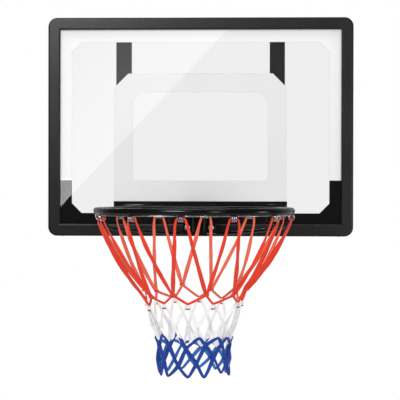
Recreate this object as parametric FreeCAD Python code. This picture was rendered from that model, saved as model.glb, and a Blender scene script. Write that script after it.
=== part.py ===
import FreeCAD, Part
import math
import os

# A wall backboard with a clear panel in a black frame, a sprung rim and a net.
# X runs across the board, -Y is the front, +Z is up. The wall plane is Y = 0,
# and the origin lies midway between the four keyholes in the two wall struts.
# Every length is in millimetres and every angle in degrees.

V = FreeCAD.Vector
UP = V(0, 0, 1)

# Frame and panel
board_width = 810.0
board_height = 580.0
corner_radius = 24.0
rail_face = 32.0
rail_wall = 2.0
lip_wall = 5.0
lip_outer_round = 4.5
lip_inner_round = 3.5
frame_depth = 28.0
panel_thickness = 4.0
panel_edge_gap = 1.5
tape_thickness = 1.0
tape_setback = 3.0
bracket_leg = 52.0
bracket_wall = 2.0
bracket_setback = 1.0
rivet_radius = 2.0
rivet_head_radius = 4.0
rivet_head_height = 1.2
rivet_tail_radius = 3.0
rivet_tail_height = 1.0
rivet_from_corner = 38.0

# Prints on the back of the panel
print_thickness = 0.2
border_band = 31.0
border_chamfer = 26.0
border_drop = 2.0
border_change_z = -142.0
target_width = 458.0
target_top_z = 142.0
target_bottom_z = -197.5
target_band = 50.0
target_foot = 55.0
target_outer_chamfer = 37.0
target_inner_chamfer = 22.0
block_width = 461.0

# Wall struts
strut_spacing = 408.0
strut_width = 40.0
strut_depth = 20.0
strut_wall = 1.5
plug_length = 15.0
plug_fit = 0.05
strut_screw_radius = 3.0
strut_screw_length = 16.0
strut_head_radius = 6.0
strut_head_depth = 3.0
keyhole_height = 400.0
keyhole_entry_radius = 9.0
keyhole_slot_radius = 4.5
keyhole_slot_length = 20.0

# Channel behind the rim, a plate with its two ends folded back
channel_wall = 3.0
channel_height = 80.0
channel_lift = 4.0
channel_wall_gap = 1.0
channel_bolt_radius = 3.0
channel_bolt_grip = 12.0
channel_head_radius = 5.5
channel_head_height = 4.0
channel_bolt_spread = 44.0

# Rim base and its bolts
rim_width = 84.0
base_wall = 4.0
base_height = 83.0
base_lift = 2.0
pad_trim = 0.5
ear_radius = 11.0
ear_root_height = 38.0
ear_root_drop = 9.0
bolt_radius = 4.0
bolt_hole_gap = 0.5
bolt_head_radius = 7.5
bolt_head_height = 5.3
washer_radius = 8.0
washer_thickness = 1.6
nut_height = 6.8
bolt_tail = 3.0
upper_bolt_spread = 44.0
upper_bolt_drop = 13.0

# Pivot, springs and carrier
pivot_reach = 62.5
pivot_below_ring = 11.0
pin_radius = 5.0
pin_fit = 0.05
pin_tail = 4.0
clip_radius = 7.5
clip_thickness = 1.5
clip_fit = 0.05
sleeve_radius = 8.0
side_gap = 0.6
carrier_wall = 5.0
carrier_foot = 2.0
carrier_notch_z = 26.0
neck_wall = 5.0
neck_rear = 6.5
neck_set_down = 0.5
gusset_wall = 5.0
gusset_spread = 28.0
gusset_reach = 130.0
gusset_toe = 8.0
gusset_tip = 8.0
spring_spread = 61.0
spring_below_pivot = 37.0
spring_wire_radius = 1.5
spring_radius = 9.5
spring_turns = 6
spring_bend = 4.0
swing_range = 12.0

# Ring, braces and hook wire
ring_bore_radius = 225.0
ring_wire_radius = 8.0
ring_board_gap = 150.0
ring_height = 73.0
brace_radius = 4.0
brace_angle = 110.0
brace_outset = 7.0
brace_seat_drop = 5.0
brace_knee_drop = 32.0
brace_shoulder_turn = 8.0
brace_shoulder_drop = 46.0
brace_heel_side = 20.0
brace_heel_lead = 7.0
brace_foot_lift = 1.0
hook_seat_gap = 0.02
butt_gap = 0.5
hook_count = 12
hook_offset = -5.0
hook_wire_radius = 1.5
coil_radius = 6.0
coil_pitch = 4.5
coil_turns = 3
coil_bend = 4.5

# Net
cord_radius = 2.6
knot_radius = 4.4
loop_bend_radius = 3.0
loop_gap = 0.4
row_radius = [130.0, 115.0, 100.0, 92.0, 90.0, 88.0]
row_drop = [192.0, 219.0, 270.0, 314.0, 354.0, 389.0]
blue_top_radius = 97.0
blue_top_drop = 292.0

# How far a cut runs past its wall, and how exactly an edge lies in a plane
overcut = 1.0
edge_slack = 0.01

# Planes and centres that follow from the sizes above
panel_back = -(strut_depth + print_thickness)
panel_front = panel_back - panel_thickness
flange_back = panel_front - tape_thickness
board_front = flange_back - lip_wall
frame_back = board_front + frame_depth
half_width = board_width / 2
half_height = board_height / 2
ring_z = ring_height - half_height
ring_radius = ring_bore_radius + ring_wire_radius
ring_outer = ring_radius + ring_wire_radius
ring_reach = ring_board_gap + ring_bore_radius
pivot_z = ring_z - pivot_below_ring
spring_z = pivot_z - spring_below_pivot
swing = math.radians(swing_range)
bolt_underside = spring_below_pivot + bolt_radius
swung_underside = (bolt_underside + carrier_wall / 2 * math.sin(swing)) / math.cos(swing)
slot_drop = swung_underside - bolt_underside
base_low = base_lift - half_height
base_high = base_low + base_height
channel_low = channel_lift - half_height
channel_high = channel_low + channel_height
upper_bolt_z = base_high - upper_bolt_drop
carrier_back = pivot_reach - carrier_wall / 2
carrier_front = carrier_back + carrier_wall
carrier_low = base_low + carrier_foot
inside_ears = rim_width / 2 - base_wall - side_gap
neck_top = ring_z + neck_wall / 2 - neck_set_down
neck_low = neck_top - neck_wall
coil_reach = ring_wire_radius + hook_wire_radius + coil_radius + hook_seat_gap
coil_z = ring_z - coil_reach
loop_z = coil_z - (coil_radius - hook_wire_radius - loop_gap - cord_radius)
loop_half = coil_pitch * coil_turns / 2 + hook_wire_radius + loop_gap + loop_bend_radius


def forward(reach):
    """The Y of a point that lies this far in front of the board's face."""
    return board_front - reach


def block(x0, x1, y0, y1, z0, z1):
    """A box between two corners, given in any order."""
    low = V(min(x0, x1), min(y0, y1), min(z0, z1))
    return Part.makeBox(abs(x1 - x0), abs(y1 - y0), abs(z1 - z0), low)


def rod(start, end, radius):
    """A round bar between two points."""
    along = end - start
    return Part.makeCylinder(radius, along.Length, start, along)


def bar_y(x, z, radius, y0, y1):
    """A round bar along Y."""
    return rod(V(x, min(y0, y1), z), V(x, max(y0, y1), z), radius)


def prism_y(outline, y0, y1):
    """An outline of (x, z) points made solid from y0 to y1."""
    points = [V(x, y0, z) for x, z in outline]
    face = Part.Face(Part.makePolygon(points + [points[0]]))
    return face.extrude(V(0, y1 - y0, 0))


def prism_x(outline, x0, x1):
    """An outline of (reach, z) points made solid from x0 to x1."""
    points = [V(x0, forward(reach), z) for reach, z in outline]
    face = Part.Face(Part.makePolygon(points + [points[0]]))
    return face.extrude(V(x1 - x0, 0, 0))


def hexagon_y(x, z, corner, y0, y1):
    """A hexagonal head or nut along Y, given its radius to the corners."""
    corners = []
    for side in range(6):
        turn = math.radians(60 * side)
        corners.append((x + corner * math.cos(turn), z + corner * math.sin(turn)))
    return prism_y(corners, y0, y1)


def fuse(shapes):
    """The shapes joined into one solid."""
    joined = shapes[0].multiFuse(shapes[1:]) if len(shapes) > 1 else shapes[0]
    return joined.removeSplitter()


def mirrored(shape):
    """The same piece on the other side of the centre plane."""
    return shape.mirror(V(0, 0, 0), V(1, 0, 0))


def save(name, *solids):
    """Writes one sub-part, or a group of like solids, to its own file."""
    shape = solids[0] if len(solids) == 1 else Part.makeCompound(list(solids))
    shape.exportStep("parts/" + name + ".step")


def rounded_slab(inset, y0, y1):
    """The board's outline, drawn in by inset, as a slab with round corners."""
    x = half_width - inset
    z = half_height - inset
    slab = block(-x, x, y0, y1, -z, z)
    upright = [edge for edge in slab.Edges if abs(edge.tangentAt(0).y) > 0.9]
    return slab.makeFillet(corner_radius - inset, upright)


def rounded_ring(outer_inset, inner_inset, y0, y1):
    """A band that follows the board's rounded outline."""
    return rounded_slab(outer_inset, y0, y1).cut(rounded_slab(inner_inset, y0, y1))


def bolt_places():
    """The (x, z) of the four bolts that hold the rim on the board."""
    upper = upper_bolt_spread / 2
    lower = spring_spread / 2
    return [(-upper, upper_bolt_z), (upper, upper_bolt_z), (-lower, spring_z), (lower, spring_z)]


def drilled(shape):
    """The shape with the rim's four bolt holes through it."""
    holes = []
    for x, z in bolt_places():
        holes.append(bar_y(x, z, bolt_radius + bolt_hole_gap, forward(base_wall + overcut), 0))
    return shape.cut(Part.makeCompound(holes))


def rivet_places():
    """The rivets' stations as (point on the frame's outside, outward direction)."""
    y = (panel_back + frame_back - bracket_setback) / 2
    places = []
    for side_x in (-1, 1):
        for side_z in (-1, 1):
            x = side_x * half_width
            z = side_z * half_height
            places.append((V(x - side_x * rivet_from_corner, y, z), V(0, 0, side_z)))
            places.append((V(x, y, z - side_z * rivet_from_corner), V(side_x, 0, 0)))
    return places


def strut_ends():
    """The four strut ends as (x, z of the frame's outside, side)."""
    return [(x * strut_spacing / 2, z * half_height, z) for x in (-1, 1) for z in (-1, 1)]


def strut_screw(x, z, side, fit):
    """A countersunk strut screw, flush with the frame's outside, or the hole for it."""
    start = V(x, -strut_depth / 2, z)
    into = V(0, 0, -side)
    shank = rod(start, start + into * strut_screw_length, strut_screw_radius + fit)
    wide = strut_head_radius + fit
    head = Part.makeCone(wide, strut_screw_radius + fit, strut_head_depth, start, into)
    return fuse([shank, head])


def front_edges(shape, outer):
    """The edges in the frame's front face: its outline, or the window's edges."""
    front = []
    for edge in shape.Edges:
        box = edge.BoundBox
        on_front = box.YMax - board_front < edge_slack
        on_outline = max(abs(box.XMin), abs(box.XMax)) > half_width - rail_face / 2
        if on_front and on_outline == outer:
            front.append(edge)
    return front


def make_frame():
    """Four mitred rails with a rounded lip and round outer corners."""
    frame = rounded_slab(0, board_front, frame_back)
    frame = frame.makeFillet(lip_outer_round, front_edges(frame, True))
    frame = frame.cut(rounded_slab(rail_wall, flange_back, frame_back))
    x = half_width - rail_face
    z = half_height - rail_face
    frame = frame.cut(block(-x, x, board_front, frame_back, -z, z))
    frame = frame.makeFillet(lip_inner_round, front_edges(frame, False))
    holes = []
    for point, out in rivet_places():
        holes.append(rod(point + out * overcut, point - out * 2 * rail_wall, rivet_radius + plug_fit))
    for end in strut_ends():
        holes.append(strut_screw(*end, plug_fit))
    frame = drilled(frame.cut(Part.makeCompound(holes)))
    mitre = 2 * rail_face
    x, z = half_width, half_height
    inner_x, inner_z = x - mitre, z - mitre
    wedges = {
        "frame_rail_top": [(-x, z), (x, z), (inner_x, inner_z), (-inner_x, inner_z)],
        "frame_rail_bottom": [(-x, -z), (x, -z), (inner_x, -inner_z), (-inner_x, -inner_z)],
        "frame_rail_left": [(-x, -z), (-x, z), (-inner_x, inner_z), (-inner_x, -inner_z)],
        "frame_rail_right": [(x, -z), (x, z), (inner_x, inner_z), (inner_x, -inner_z)],
    }
    for name, outline in wedges.items():
        save(name, frame.common(prism_y(outline, board_front, frame_back)))


def make_corner_brackets():
    """Bent straps inside the four corners, and the rivets that hold them."""
    ring = rounded_ring(rail_wall, rail_wall + bracket_wall, panel_back, frame_back - bracket_setback)
    holes = []
    rivets = []
    for point, out in rivet_places():
        grip = rail_wall + bracket_wall
        holes.append(rod(point, point - out * (grip + overcut), rivet_radius + plug_fit))
        shank = rod(point, point - out * grip, rivet_radius)
        head = rod(point, point + out * rivet_head_height, rivet_head_radius)
        tail = rod(point - out * grip, point - out * (grip + rivet_tail_height), rivet_tail_radius)
        rivets.append(fuse([shank, head, tail]))
    ring = ring.cut(Part.makeCompound(holes))
    corners = []
    for side_x in (-1, 1):
        for side_z in (-1, 1):
            x, z = side_x * half_width, side_z * half_height
            near = block(x, x - side_x * bracket_leg, panel_back, 0, z, z - side_z * bracket_leg)
            corners.append(ring.common(near))
    save("corner_brackets", *corners)
    save("corner_rivets", *rivets)


def make_panel():
    """The clear panel and the foam tape that beds it in the frame."""
    edge = rail_wall + panel_edge_gap
    save("clear_panel", drilled(rounded_slab(edge, panel_front, panel_back)))
    x = half_width - rail_face + tape_setback
    z = half_height - rail_face + tape_setback
    tape = rounded_slab(edge, flange_back, panel_front)
    tape = tape.cut(block(-x, x, flange_back, panel_front, -z, z))
    save("panel_tape", drilled(tape))


def chamfered(left, right, low, high, low_cut, high_cut):
    """An (x, z) rectangle with its lower and upper corners cut at 45 degrees."""
    outline = []
    if low_cut:
        outline += [(left, low + low_cut), (left + low_cut, low)]
        outline += [(right - low_cut, low), (right, low + low_cut)]
    else:
        outline += [(left, low), (right, low)]
    if high_cut:
        outline += [(right, high - high_cut), (right - high_cut, high)]
        outline += [(left + high_cut, high), (left, high - high_cut)]
    else:
        outline += [(right, high), (left, high)]
    return outline


def make_prints():
    """White and black ink on the panel's back: border, target and foot block."""
    y0, y1 = panel_back, panel_back + print_thickness
    outer_x = half_width - rail_face + tape_setback
    outer_z = half_height - rail_face + tape_setback
    inner_x = half_width - rail_face - border_band
    inner_z = half_height - rail_face - border_band
    field_low = -inner_z - border_drop
    field_high = inner_z - border_drop
    field = chamfered(-inner_x, inner_x, field_low, field_high, border_chamfer, border_chamfer)
    border = block(-outer_x, outer_x, y0, y1, -outer_z, outer_z).cut(prism_y(field, y0, y1))
    upper = block(-outer_x, outer_x, y0, y1, border_change_z, outer_z)
    save("white_border_print", border.common(upper))

    half_block = block_width / 2
    foot = block(-half_block, half_block, y0, y1, field_low, target_bottom_z)
    black = fuse([border.cut(upper), foot])
    save("black_border_print", drilled(black))

    half_target = target_width / 2
    outer = chamfered(-half_target, half_target, target_bottom_z, target_top_z, 0, target_outer_chamfer)
    hole_x = half_target - target_band
    hole = chamfered(
        -hole_x,
        hole_x,
        target_bottom_z + target_foot,
        target_top_z - target_band,
        0,
        target_inner_chamfer,
    )
    save("target_print", prism_y(outer, y0, y1).cut(prism_y(hole, y0, y1)))


def keyhole(x, z):
    """The cut for one keyhole: a round entry with a slot above it."""
    y0, y1 = -2 * strut_wall, overcut
    entry = bar_y(x, z, keyhole_entry_radius, y0, y1)
    top = z + keyhole_slot_length
    slot = block(x - keyhole_slot_radius, x + keyhole_slot_radius, y0, y1, z, top)
    end = bar_y(x, top, keyhole_slot_radius, y0, y1)
    return fuse([entry, slot, end])


def channel_bolt_lines():
    """The four channel bolts as (point on the strut's inner face, outward side)."""
    y = -(strut_depth - channel_wall) / 2
    middle = (channel_low + channel_high) / 2
    face = strut_spacing / 2 - strut_width / 2
    lines = []
    for side in (-1, 1):
        for step in (-1, 1):
            lines.append((V(side * face, y, middle + step * channel_bolt_spread / 2), side))
    return lines


def make_struts():
    """Two wall struts with keyholes, their end plugs and screws."""
    reach = half_height - rail_wall
    bolt_holes = []
    for point, side in channel_bolt_lines():
        into = V(side, 0, 0)
        start = point - into * overcut
        bolt_holes.append(rod(start, point + into * 2 * strut_wall, channel_bolt_radius + plug_fit))
    for name, side in (("strut_left", -1), ("strut_right", 1)):
        x = side * strut_spacing / 2
        half = strut_width / 2
        tube = block(x - half, x + half, -strut_depth, 0, -reach, reach)
        bore = block(
            x - half + strut_wall,
            x + half - strut_wall,
            strut_wall - strut_depth,
            -strut_wall,
            -reach,
            reach,
        )
        cuts = [bore, keyhole(x, keyhole_height / 2), keyhole(x, -keyhole_height / 2)] + bolt_holes
        save(name, tube.cut(Part.makeCompound(cuts)))

    plugs = []
    screws = []
    for x, z, side in strut_ends():
        half_x = strut_width / 2 - strut_wall - plug_fit
        half_y = strut_depth / 2 - strut_wall - plug_fit
        end = side * reach
        y = -strut_depth / 2
        plug = block(x - half_x, x + half_x, y - half_y, y + half_y, end, end - side * plug_length)
        screw = strut_screw(x, z, side, 0)
        plugs.append(plug.cut(screw))
        screws.append(screw)
    save("strut_plugs", *plugs)
    save("strut_screws", *screws)


def make_channel():
    """The folded steel plate between the struts that carries the rim, and its bolts."""
    x = strut_spacing / 2 - strut_width / 2
    back = -channel_wall_gap
    outer = block(-x, x, -strut_depth, back, channel_low, channel_high)
    inner = block(
        channel_wall - x,
        x - channel_wall,
        channel_wall - strut_depth,
        back,
        channel_low,
        channel_high,
    )
    channel = drilled(outer.cut(inner))
    bolts = []
    holes = []
    for point, side in channel_bolt_lines():
        into = V(side, 0, 0)
        seat = point - into * channel_wall
        shank = rod(seat, seat + into * channel_bolt_grip, channel_bolt_radius)
        head = rod(seat, seat - into * channel_head_height, channel_head_radius)
        bolts.append(fuse([shank, head]))
        holes.append(rod(seat - into * overcut, point + into * overcut, channel_bolt_radius + plug_fit))
    save("rim_channel", channel.cut(Part.makeCompound(holes)))
    save("channel_bolts", *bolts)


def make_rim_base():
    """The folded base plate with two ears, and its rubber pad on the panel."""
    half = rim_width / 2
    plate = block(-half, half, forward(0), forward(base_wall), base_low, base_high)
    root_high = base_high - ear_root_drop
    root_low = root_high - ear_root_height
    web = [
        (base_wall / 2, root_low),
        (base_wall / 2, root_high),
        (pivot_reach, pivot_z + ear_radius),
        (pivot_reach, pivot_z - ear_radius),
    ]
    pieces = [plate]
    for side in (-1, 1):
        outside = side * half
        inside = side * (half - base_wall)
        pieces.append(prism_x(web, inside, outside))
        centre_in = V(inside, forward(pivot_reach), pivot_z)
        centre_out = V(outside, forward(pivot_reach), pivot_z)
        pieces.append(rod(centre_in, centre_out, ear_radius))
    base = drilled(fuse(pieces))
    pin_line = rod(
        V(-half - overcut, forward(pivot_reach), pivot_z),
        V(half + overcut, forward(pivot_reach), pivot_z),
        pin_radius + pin_fit,
    )
    save("rim_base", base.cut(pin_line))

    flange_top = rail_face - half_height
    pad = block(-half, half, panel_front, forward(0), flange_top + pad_trim, base_high)
    save("rim_pad", drilled(pad))


def washer_y(x, z, y):
    """A washer round a bolt along Y, with its front face at y."""
    disc = bar_y(x, z, washer_radius, y, y + washer_thickness)
    return disc.cut(bar_y(x, z, bolt_radius + plug_fit, y, y + washer_thickness))


def make_rim_fasteners():
    """Base bolts, the two long spring bolts, and the washers and nuts behind."""
    back_face = channel_wall - strut_depth
    tail = back_face + washer_thickness + nut_height + bolt_tail
    base_bolts = []
    spring_bolts = []
    front_washers = []
    back_washers = []
    nuts = []
    for index, (x, z) in enumerate(bolt_places()):
        carries_spring = index > 1
        seat = forward(carrier_front + washer_thickness) if carries_spring else forward(base_wall)
        head = hexagon_y(x, z, bolt_head_radius, seat, seat - bolt_head_height)
        bolt = fuse([bar_y(x, z, bolt_radius, seat, tail), head])
        if carries_spring:
            spring_bolts.append(bolt)
            front_washers.append(washer_y(x, z, seat))
        else:
            base_bolts.append(bolt)
        back_washers.append(washer_y(x, z, back_face))
        nut_seat = back_face + washer_thickness
        nut = hexagon_y(x, z, bolt_head_radius, nut_seat, nut_seat + nut_height)
        nuts.append(nut.cut(bar_y(x, z, bolt_radius, nut_seat, nut_seat + nut_height)))
    save("base_bolts", *base_bolts)
    save("spring_bolts", *spring_bolts)
    save("spring_washers", *front_washers)
    save("rim_back_washers", *back_washers)
    save("rim_nuts", *nuts)


def make_pivot():
    """The hinge pin with its two clips, and the sleeve that turns on it."""
    y = forward(pivot_reach)
    half = rim_width / 2
    end = half + clip_thickness + clip_fit + pin_tail
    pin = rod(V(-end, y, pivot_z), V(end, y, pivot_z), pin_radius)
    clips = []
    for side in (-1, 1):
        inner = V(side * (half + clip_fit), y, pivot_z)
        outer = inner + V(side * clip_thickness, 0, 0)
        clips.append(rod(inner, outer, clip_radius).cut(rod(inner, outer, pin_radius)))
    save("pivot_pin", pin)
    save("pivot_clips", *clips)
    ends = V(-inside_ears, y, pivot_z), V(inside_ears, y, pivot_z)
    save("pivot_sleeve", rod(*ends, sleeve_radius).cut(rod(*ends, pin_radius + pin_fit)))


def sleeve_envelope():
    """The outside of the pivot sleeve, for cutting what is welded to it."""
    y = forward(pivot_reach)
    return rod(V(-half_width, y, pivot_z), V(half_width, y, pivot_z), sleeve_radius)


def make_carrier():
    """The moving plate, the neck that reaches the ring, and two gussets."""
    half = rim_width / 2
    notch = pivot_z - carrier_notch_z
    wide = block(-half, half, forward(carrier_back), forward(carrier_front), carrier_low, notch)
    narrow = block(
        -inside_ears,
        inside_ears,
        forward(carrier_back),
        forward(carrier_front),
        carrier_low,
        pivot_z,
    )
    plate = fuse([wide, narrow]).cut(sleeve_envelope())
    slots = []
    for x, z in bolt_places()[2:]:
        radius = bolt_radius + bolt_hole_gap
        near, far = forward(carrier_back - overcut), forward(carrier_front + overcut)
        slots.append(bar_y(x, z, radius, near, far))
        slots.append(bar_y(x, z - slot_drop, radius, near, far))
        slots.append(block(x - radius, x + radius, near, far, z, z - slot_drop))
    save("carrier_plate", largest(plate.cut(Part.makeCompound(slots))))

    neck = block(
        -inside_ears,
        inside_ears,
        forward(pivot_reach - neck_rear),
        forward(ring_reach),
        neck_low,
        neck_top,
    )
    centre = V(0, forward(ring_reach), neck_low)
    save("neck_plate", neck.cut(Part.makeCylinder(ring_outer, neck_wall, centre)))

    outline = [
        (carrier_front, neck_low),
        (gusset_reach, neck_low),
        (gusset_reach, neck_low - gusset_tip),
        (carrier_front + gusset_toe, carrier_low + gusset_toe),
        (carrier_front, carrier_low + gusset_toe),
    ]
    gussets = []
    for side in (-1, 1):
        middle = side * gusset_spread / 2
        web = prism_x(outline, middle - gusset_wall / 2, middle + gusset_wall / 2)
        gussets.append(largest(web.cut(sleeve_envelope())))
    save("carrier_gussets", *gussets)


def largest(shape):
    """The biggest solid of a cut shape."""
    return max(shape.Solids, key=lambda solid: solid.Volume)


def arc_edge(start, corner, end):
    """The arc from start to end whose tangents meet at corner."""
    middle = (start + end) * 0.5
    away = middle - corner
    half = (end - start).Length / 2
    rise = away.Length
    if rise < 1e-6 * half:
        return Part.LineSegment(start, end).toShape()
    away = away * (1 / rise)
    radius = half * (start - corner).Length / rise
    top = corner + away * (rise + half * half / rise - radius)
    return Part.Arc(start, top, end).toShape()


def biarc(first, second):
    """Two arcs that join two stations, each a point with its direction."""
    (start, leave), (end, arrive) = first, second
    span = end - start
    both = leave + arrive
    spread = 2 * (1 - leave.dot(arrive))
    push = span.dot(both)
    if spread < 1e-9:
        reach = span.dot(span) / (2 * push)
    else:
        reach = (math.sqrt(push * push + spread * span.dot(span)) - push) / spread
    near = start + leave * reach
    far = end - arrive * reach
    joint = (near + far) * 0.5
    return [arc_edge(start, near, joint), arc_edge(joint, far, end)]


def wire_solid(stations, radius):
    """A round wire swept through stations, and the edges of its route."""
    edges = []
    for first, second in zip(stations, stations[1:]):
        edges += biarc(first, second)
    start, leave = stations[0]
    section = Part.Wire(Part.makeCircle(radius, start, leave))
    return Part.Wire(edges).makePipeShell([section], True, False), edges


def helix_stations(centre, axis, start_out, radius, pitch, turns):
    """Quarter-turn stations of a helix round an axis."""
    side = axis.cross(start_out)
    slope = pitch / (2 * math.pi)
    stations = []
    for quarter in range(4 * turns + 1):
        turn = math.pi / 2 * quarter
        out = start_out * math.cos(turn) + side * math.sin(turn)
        around = side * math.cos(turn) - start_out * math.sin(turn)
        heading = around * radius + axis * slope
        heading.normalize()
        stations.append((centre + out * radius + axis * (slope * turn), heading))
    return stations


def least_gap(edges, radius, skip):
    """The smallest clear gap between parts of a wire over skip apart along it."""
    points = []
    travel = []
    total = 0.0
    for edge in edges:
        for point in edge.discretize(7)[:-1]:
            points.append(point)
            travel.append(total)
        total += edge.Length
    gap = float("inf")
    for i, point in enumerate(points):
        for j in range(i + 1, len(points)):
            if travel[j] - travel[i] > skip:
                gap = min(gap, point.distanceToPoint(points[j]))
    return gap - 2 * radius


def make_springs():
    """Two helical springs between the base plate and the moving plate."""
    diameter = 2 * spring_wire_radius
    near = forward(base_wall)
    far = forward(carrier_back)
    lead = diameter + spring_bend
    length = abs(far - near) - 2 * lead
    axis = V(0, -1, 0)
    springs = []
    for x, z in bolt_places()[2:]:
        side = 1 if x > 0 else -1
        start_out = V(side, 0, 0)
        centre = V(x, near, z) + axis * lead
        coil = helix_stations(centre, axis, start_out, spring_radius, length / spring_turns, spring_turns)
        first, first_heading = coil[0]
        last, last_heading = coil[-1]
        flat_first = first_heading - axis * first_heading.dot(axis)
        flat_last = last_heading - axis * last_heading.dot(axis)
        enter = first - flat_first * (spring_bend / flat_first.Length) - axis * spring_bend
        leave = last + flat_last * (spring_bend / flat_last.Length) + axis * spring_bend
        stations = [(enter - axis * diameter, axis), (enter, axis)] + coil
        stations += [(leave, axis), (leave + axis * diameter, axis)]
        solid, edges = wire_solid(stations, spring_wire_radius)
        springs.append(solid)
    gap = least_gap(edges, spring_wire_radius, 4 * spring_wire_radius + 2 * spring_bend)
    print("spring wire, least gap to itself:", round(gap, 2), "mm")
    save("rim_springs", *springs)


def round_ring(angle, radius, z):
    """A point round the ring's axis, with its tangent and outward directions."""
    turn = math.radians(angle)
    out = V(math.sin(turn), -math.cos(turn), 0)
    tangent = V(math.cos(turn), math.sin(turn), 0)
    return V(0, forward(ring_reach), z) + out * radius, tangent, out


def ring_torus():
    """The ring's own solid, also used to seat what is welded to it."""
    return Part.makeTorus(ring_radius, ring_wire_radius, V(0, forward(ring_reach), ring_z), UP)


def make_ring():
    """The round steel ring."""
    save("ring", ring_torus())


def make_hook_wire():
    """One wire under the ring that curls into a small coil at each hook."""
    length = coil_pitch * coil_turns
    stations = []
    for index in range(hook_count):
        angle = hook_offset + index * 360 / hook_count
        middle, tangent, out = round_ring(angle, ring_radius, coil_z)
        start = middle - tangent * (length / 2)
        coil = helix_stations(start, tangent, UP, coil_radius, coil_pitch, coil_turns)
        lead = tangent * (length / 2 + coil_bend) + out * coil_bend
        top = middle + UP * coil_radius
        stations += [(top - lead, tangent)] + coil + [(top + lead, tangent)]
    one_unit = len(stations) // hook_count
    first, heading = stations[0]
    stations.append((first - heading * butt_gap, heading))
    solid, edges = wire_solid(stations, hook_wire_radius)
    gap = least_gap(edges[: 2 * one_unit], hook_wire_radius, 4 * hook_wire_radius + 2 * coil_bend)
    print("hook wire, least gap to itself:", round(gap, 2), "mm")
    save("hook_wire", solid)


def rounded_rod(points, radius, name):
    """A bent round rod whose corners are arcs as large as their runs allow."""
    edges = []
    start = points[0]
    radii = []
    for index in range(1, len(points) - 1):
        corner = points[index]
        back = points[index - 1] - corner
        ahead = points[index + 1] - corner
        cut = 0.45 * min(back.Length, ahead.Length)
        turn = math.pi - back.getAngle(ahead)
        radii.append(cut / math.tan(turn / 2))
        back.normalize()
        ahead.normalize()
        arc_start = corner + back * cut
        arc_end = corner + ahead * cut
        edges.append(Part.LineSegment(start, arc_start).toShape())
        edges.append(arc_edge(arc_start, corner, arc_end))
        start = arc_end
    edges.append(Part.LineSegment(start, points[-1]).toShape())
    section = Part.Wire(Part.makeCircle(radius, points[0], points[1] - points[0]))
    print(name, "bend radii:", [round(r) for r in radii], "mm")
    return Part.Wire(edges).makePipeShell([section], True, False)


def make_braces():
    """A rod from each side of the ring, down and back to the moving plate."""
    seat_radius = ring_radius + brace_outset
    root = round_ring(brace_angle, seat_radius, ring_z - brace_seat_drop)[0]
    knee = round_ring(brace_angle, seat_radius, ring_z - brace_knee_drop)[0]
    shoulder_angle = brace_angle + brace_shoulder_turn
    shoulder = round_ring(shoulder_angle, seat_radius, ring_z - brace_shoulder_drop)[0]
    reach = carrier_front + brace_radius
    foot_z = carrier_low + brace_radius + brace_foot_lift
    gusset_side = gusset_spread / 2 + gusset_wall / 2
    points = [
        root,
        knee,
        shoulder,
        V(rim_width / 2 + brace_heel_side, forward(reach + brace_heel_lead), foot_z),
        V(gusset_side + brace_radius, forward(reach), foot_z),
    ]
    brace = largest(rounded_rod(points, brace_radius, "brace").cut(ring_torus()))
    save("brace_right", brace)
    save("brace_left", mirrored(brace))


def net_point(angle, radius, drop):
    """A point of the net: an angle round the ring's axis, a radius and a drop."""
    return round_ring(angle, radius, ring_z - drop)[0]


def net_strands(upper, lower, shift):
    """Two cords down from each upper knot to the lower knots on either side."""
    strands = []
    for index, point in enumerate(upper):
        for step in shift:
            strands.append(rod(point, lower[(index + step) % hook_count], cord_radius))
    return strands


def knots(points):
    """A small round knot at each point."""
    axis_y = forward(ring_reach)
    return [Part.makeSphere(knot_radius, p, V(p.x, p.y - axis_y, 0)) for p in points]


def make_net():
    """The net in three bands of cord, hung from the hook wire's coils."""
    step = 360 / hook_count
    hook_angles = [hook_offset + step * index for index in range(hook_count)]
    rows = []
    for index, (radius, drop) in enumerate(zip(row_radius, row_drop)):
        turn = step / 2 if index % 2 == 0 else 0
        rows.append([net_point(angle + turn, radius, drop) for angle in hook_angles])
    tops = [net_point(angle + step / 2, blue_top_radius, blue_top_drop) for angle in hook_angles]
    to_middles = (-1, 0)
    to_hooks = (0, 1)

    loops = []
    for index, angle in enumerate(hook_angles):
        middle, tangent, out = round_ring(angle, ring_radius, loop_z)
        left = middle - tangent * loop_half
        right = middle + tangent * loop_half
        loops.append(rod(left, right, cord_radius))
        for bend, knot in ((left, rows[0][index - 1]), (right, rows[0][index])):
            loops.append(Part.makeSphere(loop_bend_radius, bend, out))
            loops.append(rod(bend, knot, cord_radius))

    red = fuse(loops + net_strands(rows[0], rows[1], to_hooks) + knots(rows[0] + rows[1]))
    blue = fuse(
        net_strands(tops, rows[3], to_hooks)
        + net_strands(rows[3], rows[4], to_middles)
        + net_strands(rows[4], rows[5], to_hooks)
        + knots(tops + rows[3] + rows[4] + rows[5])
    )
    white = fuse(
        net_strands(rows[1], rows[2], to_middles)
        + net_strands(rows[2], rows[3], to_hooks)
        + net_strands(rows[2], [tops[-1]] + tops[:-1], (1,))
        + knots(rows[2])
    )
    save("net_red", red)
    save("net_blue", blue)
    save("net_white", largest(white.cut(red).cut(blue)))


os.makedirs("parts", exist_ok=True)
make_frame()
make_corner_brackets()
make_panel()
make_prints()
make_struts()
make_channel()
make_rim_base()
make_rim_fasteners()
make_pivot()
make_carrier()
make_springs()
make_ring()
make_hook_wire()
make_braces()
make_net()
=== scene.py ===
import bmesh
import bpy
import math
import random
from mathutils import Matrix, Vector

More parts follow.
